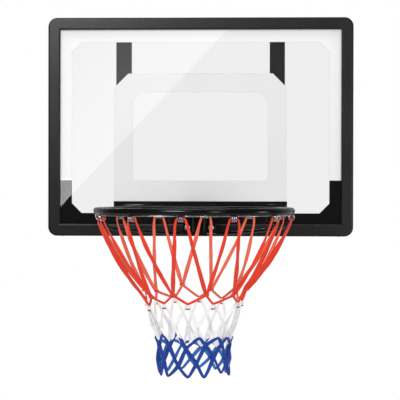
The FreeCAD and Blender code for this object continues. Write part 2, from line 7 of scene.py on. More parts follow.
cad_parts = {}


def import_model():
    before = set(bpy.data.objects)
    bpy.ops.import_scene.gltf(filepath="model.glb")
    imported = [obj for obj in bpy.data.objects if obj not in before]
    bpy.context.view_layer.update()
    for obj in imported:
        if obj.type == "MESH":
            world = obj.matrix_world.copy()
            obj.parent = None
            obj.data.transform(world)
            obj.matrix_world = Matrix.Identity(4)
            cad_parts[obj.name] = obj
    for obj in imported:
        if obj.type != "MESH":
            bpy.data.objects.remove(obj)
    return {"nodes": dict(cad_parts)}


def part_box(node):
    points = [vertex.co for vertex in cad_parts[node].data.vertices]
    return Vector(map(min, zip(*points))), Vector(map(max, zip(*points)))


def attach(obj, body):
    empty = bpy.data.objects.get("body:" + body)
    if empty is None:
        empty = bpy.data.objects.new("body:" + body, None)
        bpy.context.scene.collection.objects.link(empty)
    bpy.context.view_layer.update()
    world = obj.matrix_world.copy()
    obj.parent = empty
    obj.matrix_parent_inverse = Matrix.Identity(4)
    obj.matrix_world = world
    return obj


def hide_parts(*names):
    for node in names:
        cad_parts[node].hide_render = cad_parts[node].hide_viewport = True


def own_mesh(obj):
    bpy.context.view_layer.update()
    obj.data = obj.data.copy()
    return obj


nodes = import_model()["nodes"]
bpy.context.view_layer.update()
bpy.ops.object.select_all(action="DESELECT")

# The studio: a camera almost square to the board and a little below its
# middle, a white surround behind the object, a dim room in front of it with
# soft boxes and a slanted card that the clear panel mirrors, and a pale floor.
board_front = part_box("frame_rail_top")[0].y
camera_distance = 3.885
camera_side = 0.145
camera_height = -0.168
camera_lens = 132.0
camera_tilt = math.radians(-0.382)
camera_roll = math.radians(-0.1)
camera_yaw = math.radians(2.141)
floor_y = -0.25
floor_z = -1.0
floor_radius = 1.35
surround_white = 1.0
surround_gloss = 0.45
room_light = 0.55
room_gloss = 0.025
card_distance = 4.4
card_gloss = 0.85
card_corner_gloss = 3.6
card_left = -1.1
card_right = 0.045
card_top = 0.8
card_low = -0.413

# Each ramp: where it starts and ends, and its value there.
room_ramp = (0.25, 0.85, room_gloss, surround_gloss)
card_fade = (0.75, 1.9, 1.0, 0.25)
card_low_end = (-0.09, -0.12, 0.0, 1.0)
card_left_end = (-0.885, -0.9, 0.0, 1.0)

camera = bpy.data.objects.new("camera", bpy.data.cameras.new("camera"))
camera.data.lens = camera_lens
camera.location = (camera_side, board_front - camera_distance, camera_height)
camera.rotation_euler = (math.pi / 2 + camera_tilt, camera_roll, camera_yaw)
bpy.context.scene.collection.objects.link(camera)
bpy.context.scene.camera = camera
bpy.context.scene.view_settings.view_transform = "Standard"


def joined(tree, kind, inputs, **settings):
    """A new node of a tree, with its sockets set to values or linked to other sockets."""
    node = tree.nodes.new(kind)
    for name, value in settings.items():
        setattr(node, name, value)
    for socket, value in inputs.items():
        if isinstance(value, bpy.types.NodeSocket):
            tree.links.new(value, node.inputs[socket])
        else:
            node.inputs[socket].default_value = value
    return node


def counted(tree, operation, first, second=0.0):
    """The result of a Math node."""
    return joined(tree, "ShaderNodeMath", {0: first, 1: second}, operation=operation).outputs[0]


def ramped(tree, value, low, high, start, end):
    """A value carried smoothly from one range to another."""
    sockets = {"Value": value, "From Min": low, "From Max": high, "To Min": start, "To Max": end}
    return joined(tree, "ShaderNodeMapRange", sockets, interpolation_type="SMOOTHSTEP").outputs["Result"]


def blended(tree, factor, first, second):
    """A mix of two numbers."""
    sockets = {"Factor": factor, "A": first, "B": second}
    return joined(tree, "ShaderNodeMix", sockets, data_type="FLOAT").outputs["Result"]


def surfaced(name):
    """A new material and its surface node."""
    material = bpy.data.materials.new(name)
    material.use_nodes = True
    return material, material.node_tree.nodes["Principled BSDF"]


world = bpy.data.worlds.new("surround")
world.use_nodes = True
world.node_tree.nodes.clear()
bpy.context.scene.world = world
sky = world.node_tree
ray = joined(sky, "ShaderNodeLightPath", {})
mirrored = counted(sky, "GREATER_THAN", ray.outputs["Glossy Depth"], 0.5)
unmirrored = counted(sky, "SUBTRACT", 1.0, mirrored)
through = counted(sky, "MULTIPLY", ray.outputs["Is Transmission Ray"], unmirrored)
seen = counted(sky, "MAXIMUM", ray.outputs["Is Camera Ray"], through)
heading = joined(sky, "ShaderNodeTexCoord", {})
aim = joined(sky, "ShaderNodeSeparateXYZ", {0: heading.outputs["Generated"]})
behind = ramped(sky, aim.outputs["Y"], *room_ramp)
glossy = counted(sky, "MAXIMUM", ray.outputs["Is Glossy Ray"], mirrored)
unseen = blended(sky, glossy, room_light, behind)
level = blended(sky, seen, unseen, surround_white)
glow = joined(sky, "ShaderNodeBackground", {"Color": (1, 1, 1, 1), "Strength": level})
joined(sky, "ShaderNodeOutputWorld", {"Surface": glow.outputs[0]})

bpy.ops.mesh.primitive_circle_add(
    vertices=96, radius=floor_radius, fill_type="NGON", location=(0, floor_y, floor_z)
)
floor = bpy.context.object
floor.name = "floor"
pale, pale_skin = surfaced("pale_floor")
pale_skin.inputs["Base Color"].default_value = (0.82, 0.82, 0.82, 1)
pale_skin.inputs["Roughness"].default_value = 0.7
floor.data.materials.append(pale)

card_mesh = bpy.data.meshes.new("gloss_card")
card_y = board_front - card_distance
card_ends = ((card_right, card_top), (card_left, card_low), (card_left, card_top))
card_corners = [(x, card_y, z) for x, z in card_ends]
card_mesh.from_pydata(card_corners, [], [(0, 1, 2)])
card = bpy.data.objects.new("gloss_card", card_mesh)
bpy.context.scene.collection.objects.link(card)
card_glow = bpy.data.materials.new("card_glow")
card_glow.use_nodes = True
card_glow.node_tree.nodes.clear()
lit = card_glow.node_tree
card_place = joined(lit, "ShaderNodeTexCoord", {})
card_axes = joined(lit, "ShaderNodeSeparateXYZ", {0: card_place.outputs["Object"]})
across = counted(lit, "SUBTRACT", card_axes.outputs["Z"], card_axes.outputs["X"])
fade = ramped(lit, across, *card_fade)
low_end = ramped(lit, card_axes.outputs["Z"], *card_low_end)
left_end = ramped(lit, card_axes.outputs["X"], *card_left_end)
corner = counted(lit, "MULTIPLY", low_end, left_end)
brightness = blended(lit, corner, counted(lit, "MULTIPLY", fade, card_gloss), card_corner_gloss)
card_ray = joined(lit, "ShaderNodeLightPath", {})
card_mirrored = counted(lit, "GREATER_THAN", card_ray.outputs["Glossy Depth"], 0.5)
strength = counted(lit, "MULTIPLY", brightness, card_mirrored)
emission = joined(lit, "ShaderNodeEmission", {"Strength": strength})
joined(lit, "ShaderNodeOutputMaterial", {"Surface": emission.outputs[0]})
card_mesh.materials.append(card_glow)
card.visible_camera = False
card.visible_diffuse = False
card.visible_shadow = False

# The soft boxes: each one's place, what it faces, its width and height, and its watts.
for name, place, target, size, watts in (
    ("key_box", (-1.38, -4.25, 1.66), (0, 0, 0), (1.4, 1.15), 98),
    ("top_box", (0.0, -0.75, 2.1), (0, -0.25, 0), (1.9, 0.5), 14),
    ("side_box", (1.8, -4.2, -0.1), (0, -0.1, -0.1), (0.6, 1.9), 30),
    ("edge_box", (2.9, -0.7, -0.5), (0.2, -0.05, -0.1), (0.5, 1.4), 12),
):
    lamp = bpy.data.objects.new(name, bpy.data.lights.new(name, "AREA"))
    lamp.data.shape = "RECTANGLE"
    lamp.data.size, lamp.data.size_y = size
    lamp.data.energy = watts
    lamp.location = place
    lamp.rotation_euler = (Vector(target) - Vector(place)).to_track_quat("-Z", "Y").to_euler()
    bpy.context.scene.collection.objects.link(lamp)


# The two wall struts, flat steel tube in matt black powder coat. They show
# through the clear panel, and their backs have the keyholes.
def clouded(tree, scale, first, second):
    """A cloudy mix of two colours, with the cloud and the place that it reads."""
    place = joined(tree, "ShaderNodeTexCoord", {}).outputs["Object"]
    noise = joined(tree, "ShaderNodeTexNoise", {"Vector": place, "Scale": scale, "Detail": 5.0})
    cloud = noise.outputs["Fac"]
    sockets = {"Factor": cloud, "A": (*first, 1), "B": (*second, 1)}
    shade = joined(tree, "ShaderNodeMix", sockets, data_type="RGBA").outputs["Result"]
    return place, cloud, shade


def coating(name, colour, pale_colour, roughness, peel_size, peel_depth, gloss=0.5):
    """Powder coat, paint or ink: a fine orange peel, with cloudy shade and sheen."""
    material, skin = surfaced(name)
    tree = material.node_tree
    skin.inputs["Specular IOR Level"].default_value = gloss
    place, cloud, shade = clouded(tree, 9.0, colour, pale_colour)
    peel = joined(tree, "ShaderNodeTexNoise", {"Vector": place, "Scale": 1 / peel_size, "Detail": 2.0})
    dents = {"Height": peel.outputs["Fac"], "Distance": peel_depth, "Strength": 0.6}
    bump = joined(tree, "ShaderNodeBump", dents)
    sheen = ramped(tree, cloud, 0.0, 1.0, roughness - 0.04, roughness + 0.04)
    tree.links.new(shade, skin.inputs["Base Color"])
    tree.links.new(sheen, skin.inputs["Roughness"])
    tree.links.new(bump.outputs["Normal"], skin.inputs["Normal"])
    return material


def dress(finish, *names):
    """Gives CAD nodes a finish."""
    for name in names:
        nodes[name].data.materials.clear()
        nodes[name].data.materials.append(finish)


same_place = 1e-6


def ease(width, *names):
    """Softens the sharp edges of CAD nodes, as a press brake and paint leave them."""
    for name in names:
        weld = nodes[name].modifiers.new("closed", "WELD")
        weld.merge_threshold = same_place
        soft = nodes[name].modifiers.new("eased", "BEVEL")
        soft.width = width
        soft.segments = 2
        soft.limit_method = "ANGLE"
        soft.angle_limit = math.radians(50)
        soft.harden_normals = True


strut_black = coating(
    "strut_black", (0.008, 0.008, 0.0084), (0.011, 0.011, 0.0114), 0.5, 0.0016, 0.0002, 0.15
)
dress(strut_black, "strut_left", "strut_right")


# The struts' ends: zinc plugs that are threaded, and countersunk socket
# screws that go through the frame into them, flush with its outside.
def plating(name, colour, dull_colour, roughness):
    """Zinc plate: bright metal with a cloudy bloom and a fine grain."""
    material, skin = surfaced(name)
    tree = material.node_tree
    skin.inputs["Metallic"].default_value = 1.0
    place, cloud, shade = clouded(tree, 160.0, colour, dull_colour)
    grain = joined(tree, "ShaderNodeTexNoise", {"Vector": place, "Scale": 1800.0, "Detail": 2.0})
    dents = {"Height": grain.outputs["Fac"], "Distance": 0.00005, "Strength": 0.35}
    bump = joined(tree, "ShaderNodeBump", dents)
    sheen = ramped(tree, cloud, 0.0, 1.0, roughness - 0.08, roughness + 0.1)
    tree.links.new(shade, skin.inputs["Base Color"])
    tree.links.new(sheen, skin.inputs["Roughness"])
    tree.links.new(bump.outputs["Normal"], skin.inputs["Normal"])
    return material


def pick(*pieces):
    """Selects only these, the first one active."""
    bpy.ops.object.select_all(action="DESELECT")
    for work in pieces:
        work.select_set(True)
    bpy.context.view_layer.objects.active = pieces[0]


def turned(profile, steps=40):
    """A turned piece: a profile of (radius, height) points spun round the Z axis."""
    mesh = bpy.data.meshes.new("turned")
    corners = [(radius, 0.0, height) for radius, height in profile]
    mesh.from_pydata(corners, [(index, index + 1) for index in range(len(profile) - 1)], [])
    work = bpy.data.objects.new("turned", mesh)
    bpy.context.scene.collection.objects.link(work)
    pick(work)
    bpy.ops.object.mode_set(mode="EDIT")
    bpy.ops.mesh.select_all(action="SELECT")
    bpy.ops.mesh.spin(steps=steps, angle=2 * math.pi, center=(0, 0, 0), axis=(0, 0, 1))
    bpy.ops.mesh.select_all(action="SELECT")
    bpy.ops.mesh.remove_doubles(threshold=same_place)
    bpy.ops.mesh.normals_make_consistent(inside=False)
    bpy.ops.object.mode_set(mode="OBJECT")
    return work


def carve(work, tool, operation):
    """Cuts a piece by another shape, or to it, and takes that shape away."""
    pick(work)
    cut = work.modifiers.new("cut", "BOOLEAN")
    cut.operation = operation
    cut.solver = "EXACT"
    cut.object = tool
    bpy.ops.object.modifier_apply(modifier=cut.name)
    bpy.data.objects.remove(tool)


def set_out(work, places):
    """Copies of one piece at its places, as one set."""
    copies = []
    for place in places:
        copy = work.copy()
        copy.data = work.data.copy()
        copy.data.transform(place)
        bpy.context.scene.collection.objects.link(copy)
        copies.append(copy)
    bpy.data.objects.remove(work)
    pick(*copies)
    if len(copies) > 1:
        bpy.ops.object.join()
    return bpy.context.view_layer.objects.active


def settle(work, name, body, slot, finish, *stands_for):
    """Names a piece, finishes it, and says what it rides on and stands for."""
    work.name = name
    work.data.name = name
    work.data.materials.clear()
    work.data.materials.append(finish)
    pick(work)
    bpy.ops.object.transform_apply(location=True, rotation=True, scale=True)
    bpy.ops.object.shade_smooth_by_angle(angle=math.radians(32))
    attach(work, body)
    if stands_for:
        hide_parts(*stands_for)
    return work


def faced(x, y, z, direction):
    """Where a piece made along +Z goes when that end faces a direction."""
    return Matrix.Translation((x, y, z)) @ Vector(direction).to_track_quat("Z", "Y").to_matrix().to_4x4()


bright_zinc = plating("bright_zinc", (0.72, 0.73, 0.75), (0.55, 0.56, 0.58), 0.3)
dress(bright_zinc, "strut_plugs")
strut_x = (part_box("strut_right")[0].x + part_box("strut_right")[1].x) / 2
strut_y = (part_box("strut_right")[0].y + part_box("strut_right")[1].y) / 2
board_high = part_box("frame_rail_top")[1].z
socket_corner = 0.0023
screw_head = 0.006
screw_edge = 0.0002
screw_shank = 0.003
screw_length = 0.016
screw_tip = 0.001
screw = turned(
    [
        (0, 0),
        (screw_head - screw_edge, 0),
        (screw_head, -screw_edge),
        (screw_shank, screw_shank - screw_head),
        (screw_shank, screw_tip - screw_length),
        (screw_shank - screw_tip, -screw_length),
        (0, -screw_length),
    ]
)
bpy.ops.mesh.primitive_cylinder_add(vertices=6, radius=socket_corner, depth=0.005, location=(0, 0, 0))
carve(screw, bpy.context.object, "DIFFERENCE")
strut_screw_set = set_out(
    screw,
    [faced(x, strut_y, z, (0, 0, z)) for x in (-strut_x, strut_x) for z in (-board_high, board_high)],
)
settle(strut_screw_set, "strut_screw_set", "board", "zinc_steel", bright_zinc, "strut_screws")

# The rim's plate between the struts: folded steel, painted as they are, with
# two round-headed socket bolts through each folded end into a strut.
dress(strut_black, "rim_channel")
ease(0.0005, "rim_channel")
plate_wall = 0.003
end_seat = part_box("rim_channel")[1].x - plate_wall
end_bolt_low, end_bolt_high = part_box("channel_bolts")
end_bolt_y = (end_bolt_low.y + end_bolt_high.y) / 2
end_head = end_bolt_high.y - end_bolt_y
end_head_height = 0.004
end_shank = 0.003
end_tip = 0.0008
end_grip = end_bolt_high.x - end_seat
end_bolt = turned(
    [
        (0, end_head_height),
        (end_head - 0.0016, end_head_height),
        (end_head - 0.0006, 0.0035),
        (end_head, 0.0022),
        (end_head, 0),
        (end_shank, 0),
        (end_shank, end_tip - end_grip),
        (end_shank - end_tip, -end_grip),
        (0, -end_grip),
    ]
)
bpy.ops.mesh.primitive_cylinder_add(
    vertices=6, radius=socket_corner, depth=0.0048, location=(0, 0, end_head_height)
)
carve(end_bolt, bpy.context.object, "DIFFERENCE")
end_bolt_places = []
for side in (-1, 1):
    for z in (end_bolt_low.z + end_head, end_bolt_high.z - end_head):
        end_bolt_places.append(faced(side * end_seat, end_bolt_y, z, (-side, 0, 0)))
end_bolt_set = set_out(end_bolt, end_bolt_places)
settle(end_bolt_set, "end_bolt_set", "board", "zinc_steel", bright_zinc, "channel_bolts")

# The frame: four rails in satin black with a rounded lip, mitred, with a
# bent zinc strap inside each corner held by two aluminium blind rivets.
frame_satin = coating(
    "frame_satin", (0.006, 0.006, 0.0065), (0.009, 0.009, 0.0095), 0.3, 0.0012, 0.0001, 0.4
)
dress(frame_satin, "frame_rail_top", "frame_rail_bottom", "frame_rail_left", "frame_rail_right")
dress(bright_zinc, "corner_brackets")
ease(0.0003, "corner_brackets")
rivet_aluminium = plating("rivet_aluminium", (0.78, 0.78, 0.79), (0.66, 0.66, 0.67), 0.38)
rivet_from_corner = 0.038
rivet_low, rivet_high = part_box("corner_rivets")
rivet_y = (rivet_low.y + rivet_high.y) / 2
rivet_dome = rivet_high.z - board_high
board_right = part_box("frame_rail_right")[1].x
rivet = turned(
    [
        (0, rivet_dome * 0.45),
        (0.0009, rivet_dome * 0.45),
        (0.0010, rivet_dome * 0.95),
        (0.0013, rivet_dome),
        (0.0024, rivet_dome * 0.86),
        (0.0034, rivet_dome * 0.5),
        (0.0040, 0.0001),
        (0.0040, 0),
        (0.0020, 0),
        (0.0020, -0.0040),
        (0.0030, -0.0040),
        (0.0029, -0.0047),
        (0.0022, -0.0050),
        (0, -0.0050),
    ],
    28,
)
rivet_places = []
for side_x in (-1, 1):
    for side_z in (-1, 1):
        x, z = side_x * board_right, side_z * board_high
        rivet_places.append(faced(x - side_x * rivet_from_corner, rivet_y, z, (0, 0, side_z)))
        rivet_places.append(faced(x, rivet_y, z - side_z * rivet_from_corner, (side_x, 0, 0)))
rivet_set = set_out(rivet, rivet_places)
settle(rivet_set, "rivet_set", "board", "aluminium_rivet", rivet_aluminium, "corner_rivets")

# The clear panel, polycarbonate sheet bedded on a thin black foam tape.
# Lamps and scattered light pass straight through it to the prints behind.
sheet_tint = (0.945, 0.945, 0.948, 1)
clear, sheet_skin = surfaced("clear_sheet")
glass = clear.node_tree
sheet_skin.inputs["Base Color"].default_value = sheet_tint
sheet_skin.inputs["Roughness"].default_value = 0.0
sheet_skin.inputs["IOR"].default_value = 1.55
sheet_skin.inputs["Transmission Weight"].default_value = 1.0
lamp_path = joined(glass, "ShaderNodeLightPath", {})
shadow_ray, diffuse_ray = lamp_path.outputs["Is Shadow Ray"], lamp_path.outputs["Is Diffuse Ray"]
scattered = counted(glass, "MAXIMUM", shadow_ray, diffuse_ray)
lamp_way = joined(glass, "ShaderNodeBsdfTransparent", {"Color": (0.97, 0.97, 0.97, 1)})
ways = {0: scattered, 1: sheet_skin.outputs[0], 2: lamp_way.outputs[0]}
sheet_mix = joined(glass, "ShaderNodeMixShader", ways)
glass.links.new(sheet_mix.outputs[0], glass.nodes["Material Output"].inputs["Surface"])
dress(clear, "clear_panel")
foam_black = coating("foam_black", (0.02, 0.02, 0.02), (0.03, 0.03, 0.03), 0.85, 0.0006, 0.0002)
dress(foam_black, "panel_tape")


# The prints: screen ink on the panel's back, a white border, a white target
# and a black lower border with its foot block; the white ones carry a painted shade line at their edges,
# the black one a paler edge.
def printed(name, node, ink, edge_colour):
    """Ink for a print: its CAD shape, a hair clear of the sheet, with its edges inset."""
    work = bpy.data.objects.new(name, nodes[node].data.copy())
    bpy.context.scene.collection.objects.link(work)
    pick(work)
    work.data.materials.clear()
    work.data.materials.append(ink)
    work.data.materials.append(edge_colour)
    bpy.ops.object.mode_set(mode="EDIT")
    bpy.ops.mesh.select_all(action="SELECT")
    bpy.ops.mesh.remove_doubles(threshold=same_place)
    bpy.ops.mesh.dissolve_limited(angle_limit=math.radians(1))
    bpy.ops.mesh.select_all(action="DESELECT")
    sheet = bmesh.from_edit_mesh(work.data)
    front = min(corner.co.y for corner in sheet.verts)
    for corner in sheet.verts:
        if corner.co.y < front + ink_gap:
            corner.co.y = front + ink_gap
    for face in sheet.faces:
        face.select = face.normal.y < -0.9
    bmesh.update_edit_mesh(work.data)
    bpy.ops.mesh.inset(thickness=ink_edge, depth=0.0, use_boundary=True)
    sheet = bmesh.from_edit_mesh(work.data)
    for face in sheet.faces:
        face.material_index = int(face.normal.y < -0.9 and not face.select)
    bmesh.update_edit_mesh(work.data)
    bpy.ops.object.mode_set(mode="OBJECT")
    work.data.name = name
    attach(work, "board")
    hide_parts(node)


def screen_ink(name, colour, pale_colour, roughness):
    """Screen ink: a fine grain, and no gloss of its own, for the sheet lies on it."""
    return coating(name, colour, pale_colour, roughness, 0.0005, 0.00002, 0.0)


ink_gap = 0.00005
ink_edge = 0.0011
target_ink = screen_ink("target_ink", (0.82, 0.82, 0.825), (0.86, 0.86, 0.865), 0.45)
border_ink = screen_ink("border_ink", (0.93, 0.93, 0.94), (0.96, 0.96, 0.965), 0.45)
# Painted shade: the white prints' edge strip is a darker grey, a shade line along each edge; the black
# print's edge strip is paler than its face.
white_painted_shade_line = screen_ink("white_painted_shade_line", (0.72, 0.72, 0.73), (0.78, 0.78, 0.785), 0.45)
black_ink = screen_ink("black_ink", (0.006, 0.006, 0.006), (0.008, 0.008, 0.008), 0.35)
black_paler_edge = screen_ink("black_paler_edge", (0.012, 0.012, 0.012), (0.016, 0.016, 0.016), 0.35)
printed("border_print", "white_border_print", border_ink, white_painted_shade_line)
printed("target_lines", "target_print", target_ink, white_painted_shade_line)
printed("foot_print", "black_border_print", black_ink, black_paler_edge)


# The rubber pad that the rim's base plate beds on, and the base plate itself:
# folded 4 mm steel with two ears, in glossy black powder coat.
rubber_black = coating("rubber_black", (0.012, 0.012, 0.012), (0.018, 0.018, 0.018), 0.7, 0.0009, 0.0001)
dress(rubber_black, "rim_pad")
ease(0.0008, "rim_pad")
rim_gloss = coating(
    "rim_gloss", (0.003, 0.003, 0.0033), (0.005, 0.005, 0.0054), 0.18, 0.002, 0.00008, 0.35
)
dress(rim_gloss, "rim_base")
ease(0.0005, "rim_base")

# The M8 bolts that hold the rim: hexagon heads, threaded tails, and washers
# and nuts behind the folded plate, all zinc plated.
thread_pitch = 0.00125
thread_depth = 0.0006
bolt_fillet = 0.0004
bolt_tip = 0.0008
base_thread = 0.014
long_thread = 0.022
base_low, base_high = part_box("base_bolts")
long_low, long_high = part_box("spring_bolts")
nut_low, nut_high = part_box("rim_nuts")
back_washer_low, back_washer_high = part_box("rim_back_washers")
front_washer_low, front_washer_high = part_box("spring_washers")
shank_radius = 0.004
washer_radius = (front_washer_high.z - front_washer_low.z) / 2
washer_fit = 0.00005
head_corner = 0.0075
head_height = 0.0053
head_flat = head_corner * math.cos(math.radians(30))
upper_x = base_high.x - head_corner
upper_z = (base_low.z + base_high.z) / 2
lower_x = long_high.x - head_corner
lower_z = (long_low.z + long_high.z) / 2
bolt_places = ((-upper_x, upper_z), (upper_x, upper_z), (-lower_x, lower_z), (lower_x, lower_z))


def hexagon(low, high, cones):
    """A hexagonal head or nut along Z whose corners are turned away at one or both ends."""
    middle, turn = (low + high) / 2, math.radians(30)
    bpy.ops.mesh.primitive_cylinder_add(
        vertices=6, radius=head_corner, depth=high - low, location=(0, 0, middle), rotation=(0, 0, turn)
    )
    work = bpy.context.object
    bpy.ops.object.transform_apply(location=True, rotation=True, scale=True)
    outside = head_corner + 0.001
    fall = (head_corner - head_flat) * 0.6 + 0.0006
    top = (head_flat, high) if cones[1] else (outside, high)
    foot = (head_flat, low) if cones[0] else (outside, low)
    profile = [(0, high), top, (outside, high - fall), (outside, low + fall), foot, (0, low)]
    carve(work, turned(profile, 48), "INTERSECT")
    return work


def bolt(length, threaded):
    """A hexagon bolt: its seat at the origin, head up +Z, shank and thread down -Z."""
    profile = [(0, bolt_fillet), (shank_radius + bolt_fillet, bolt_fillet), (shank_radius, -0.0002)]
    profile.append((shank_radius, threaded - length))
    height = threaded - length
    while height - thread_pitch > bolt_tip - length:
        profile.append((shank_radius - thread_depth, height - thread_pitch / 2))
        profile.append((shank_radius, height - thread_pitch))
        height -= thread_pitch
    profile += [(shank_radius - bolt_tip, -length), (0, -length)]
    head = hexagon(0, head_height, (False, True))
    pick(turned(profile, 28), head)
    bpy.ops.object.join()
    return bpy.context.view_layer.objects.active


def washer(thickness):
    """A washer along Z, its edges rolled over by the stamping."""
    inner = shank_radius + washer_fit
    profile = [
        (inner, 0),
        (inner, thickness),
        (washer_radius - 0.0005, thickness),
        (washer_radius, thickness - 0.0004),
        (washer_radius, 0.0002),
        (washer_radius - 0.0002, 0),
        (inner, 0),
    ]
    return turned(profile, 40)


def fastened(work, name, node, y, way, places):
    """Sets a fastener out at bolt places, its +Z end to the wall (1) or the front (-1)."""
    work = set_out(work, [faced(x, y, z, (0, way, 0)) for x, z in places])
    settle(work, name, "board", "zinc_steel", bright_zinc, node)


back_y = base_high.y
base_seat = base_low.y + head_height
long_seat = long_low.y + head_height
long_bolt_places = bolt_places[2:]
base_bolt = bolt(back_y - base_seat, base_thread)
fastened(base_bolt, "base_bolt_set", "base_bolts", base_seat, -1, bolt_places[:2])
long_bolt = bolt(back_y - long_seat, long_thread)
fastened(long_bolt, "long_bolt_set", "spring_bolts", long_seat, -1, long_bolt_places)
front_washer = washer(front_washer_high.y - front_washer_low.y)
fastened(front_washer, "front_washer_set", "spring_washers", front_washer_high.y, -1, long_bolt_places)
back_washer = washer(back_washer_high.y - back_washer_low.y)
fastened(back_washer, "back_washer_set", "rim_back_washers", back_washer_low.y, 1, bolt_places)
nut_height = 0.0068
nut_mouth = 0.0048
nut = hexagon(0, nut_high.y - nut_low.y, (True, True))
nut_bore = turned(
    [
        (0, -0.001),
        (nut_mouth, -0.001),
        (shank_radius, 0.0006),
        (shank_radius, nut_height - 0.0006),
        (nut_mouth, nut_height + 0.001),
        (0, nut_height + 0.001),
    ],
    28,
)
carve(nut, nut_bore, "DIFFERENCE")
fastened(nut, "nut_set", "rim_nuts", nut_low.y, 1, bolt_places)

# The hinge: a 10 mm ground pin through the ears, held by a snap ring at each
# end, and the steel sleeve that turns on it.
pin_low, pin_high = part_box("pivot_pin")
clip_low, clip_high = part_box("pivot_clips")
pin_y, pin_z = (pin_low.y + pin_high.y) / 2, (pin_low.z + pin_high.z) / 2
pin_radius = (pin_high.z - pin_low.z) / 2
clip_radius = (clip_high.z - clip_low.z) / 2
pin_groove = pin_radius - 0.0005
pin_chamfer = 0.001
clip_thickness = 0.0015
clip_bore = pin_radius - 0.0004
clip_round = 0.0003
clip_mouth = (0.0052, 0.009, 0.01)
clip_seat = clip_high.x - clip_thickness
half_pin = turned(
    [
        (0, 0),
        (pin_radius, 0),
        (pin_radius, clip_seat),
        (pin_groove, clip_seat + 0.0001),
        (pin_groove, clip_high.x),
        (pin_radius, clip_high.x + 0.0001),
        (pin_radius, pin_high.x - pin_chamfer),
        (pin_radius - pin_chamfer, pin_high.x),
        (0, pin_high.x),
    ],
    40,
)
pin_set = set_out(half_pin, [faced(0, pin_y, pin_z, (side, 0, 0)) for side in (-1, 1)])
settle(pin_set, "hinge_pin", "board", "zinc_steel", bright_zinc, "pivot_pin")
snap = turned(
    [
        (clip_bore, 0),
        (clip_bore, clip_thickness),
        (clip_radius - clip_round, clip_thickness),
        (clip_radius, clip_thickness - clip_round),
        (clip_radius, clip_round),
        (clip_radius - clip_round, 0),
        (clip_bore, 0),
    ],
    48,
)
bpy.ops.mesh.primitive_cube_add(size=1, location=(0, -clip_radius, 0))
mouth = bpy.context.object
mouth.scale = clip_mouth
carve(snap, mouth, "DIFFERENCE")
snap_set = set_out(snap, [faced(side * clip_seat, pin_y, pin_z, (side, 0, 0)) for side in (-1, 1)])
settle(snap_set, "snap_ring_set", "board", "zinc_steel", bright_zinc, "pivot_clips")

# The moving part of the rim: sleeve, plate, neck and two gussets, welded and
# powder coated in one, with the two springs behind the plate.
dress(rim_gloss, "pivot_sleeve", "carrier_plate", "neck_plate", "carrier_gussets")
ease(0.0006, "carrier_plate", "neck_plate", "carrier_gussets")
drawn_step = 0.004
wave_points = 26


def smoothed(stations, closed):
    """Points every few millimetres on a smooth curve through stations, with all they carry."""
    count = len(stations)
    tangents = []
    for index in range(count):
        here = stations[index][0]
        ahead = stations[(index + 1) % count][0] if closed or index < count - 1 else here
        back = stations[index - 1][0] if closed or index > 0 else here
        leave, arrive = ahead - here, here - back
        heading = leave.normalized() + arrive.normalized()
        tangents.append(heading.normalized() if heading.length > 1e-6 else arrive.normalized())
    places = []
    for index in range(count if closed else count - 1):
        first, second = stations[index], stations[(index + 1) % count]
        span = (second[0] - first[0]).length
        steps = max(3, int(span / drawn_step))
        for step in range(steps):
            part = step / steps
            cube, square = part**3, part * part
            spot = (
                first[0] * (2 * cube - 3 * square + 1)
                + tangents[index] * (span * first[4] * (cube - 2 * square + part))
                + second[0] * (3 * square - 2 * cube)
                + tangents[(index + 1) % count] * (span * second[4] * (cube - square))
            )
            outward = first[1].slerp(second[1], part, second[1])
            carried = [a * (1 - part) + b * part for a, b in zip(first[2:], second[2:])]
            places.append([spot, outward] + carried)
    if not closed:
        places.append(list(stations[-1]))
    return places


def drawn(mesh, stations, closed=True, twist=0.0, sides=12, power=2.6):
    """Adds a wire or tape to a mesh: stations are (place, outward, width, thickness, ease of bend)."""
    places = smoothed(stations, closed)
    count = len(places)
    uv = mesh.loops.layers.uv.verify()
    swing = chance.uniform(0, 2 * math.pi)
    waves = max(1, round(count / wave_points * chance.uniform(0.6, 1.4)))
    rows = []
    lengths = [0.0]
    for index, (spot, outward, width, thickness, ease_of_bend) in enumerate(places):
        ahead = places[(index + 1) % count][0] if closed or index < count - 1 else spot
        back = places[index - 1][0] if closed or index > 0 else spot
        heading = (ahead - back).normalized()
        across = heading.cross(outward)
        across = across.normalized() if across.length > 1e-5 else heading.orthogonal().normalized()
        face = across.cross(heading)
        lean = twist * math.sin(swing + 2 * math.pi * index / count * waves)
        cosine, sine = math.cos(lean), math.sin(lean)
        across, face = across * cosine + face * sine, face * cosine - across * sine
        ring = []
        for side in range(sides):
            turn = 2 * math.pi * side / sides
            cosine, sine = math.cos(turn), math.sin(turn)
            aside = math.copysign(abs(cosine) ** (2 / power), cosine) * width / 2
            rise = math.copysign(abs(sine) ** (2 / power), sine) * thickness / 2
            ring.append(mesh.verts.new(spot + across * aside + face * rise))
        rows.append(ring)
        lengths.append(lengths[-1] + (ahead - spot).length)
    for index in range(count if closed else count - 1):
        near, far = rows[index], rows[(index + 1) % count]
        for side in range(sides):
            beside = (side + 1) % sides
            quad = mesh.faces.new((near[side], near[beside], far[beside], far[side]))
            quad.smooth = True
            corners = (
                (side / sides, lengths[index]),
                ((side + 1) / sides, lengths[index]),
                ((side + 1) / sides, lengths[index + 1]),
                (side / sides, lengths[index + 1]),
            )
            for loop, (u, v) in zip(quad.loops, corners):
                loop[uv].uv = (u, v * 100)
    if not closed:
        for ring in (rows[0], rows[-1]):
            for loop in mesh.faces.new(ring).loops:
                loop[uv].uv = (0.25, 0.0)


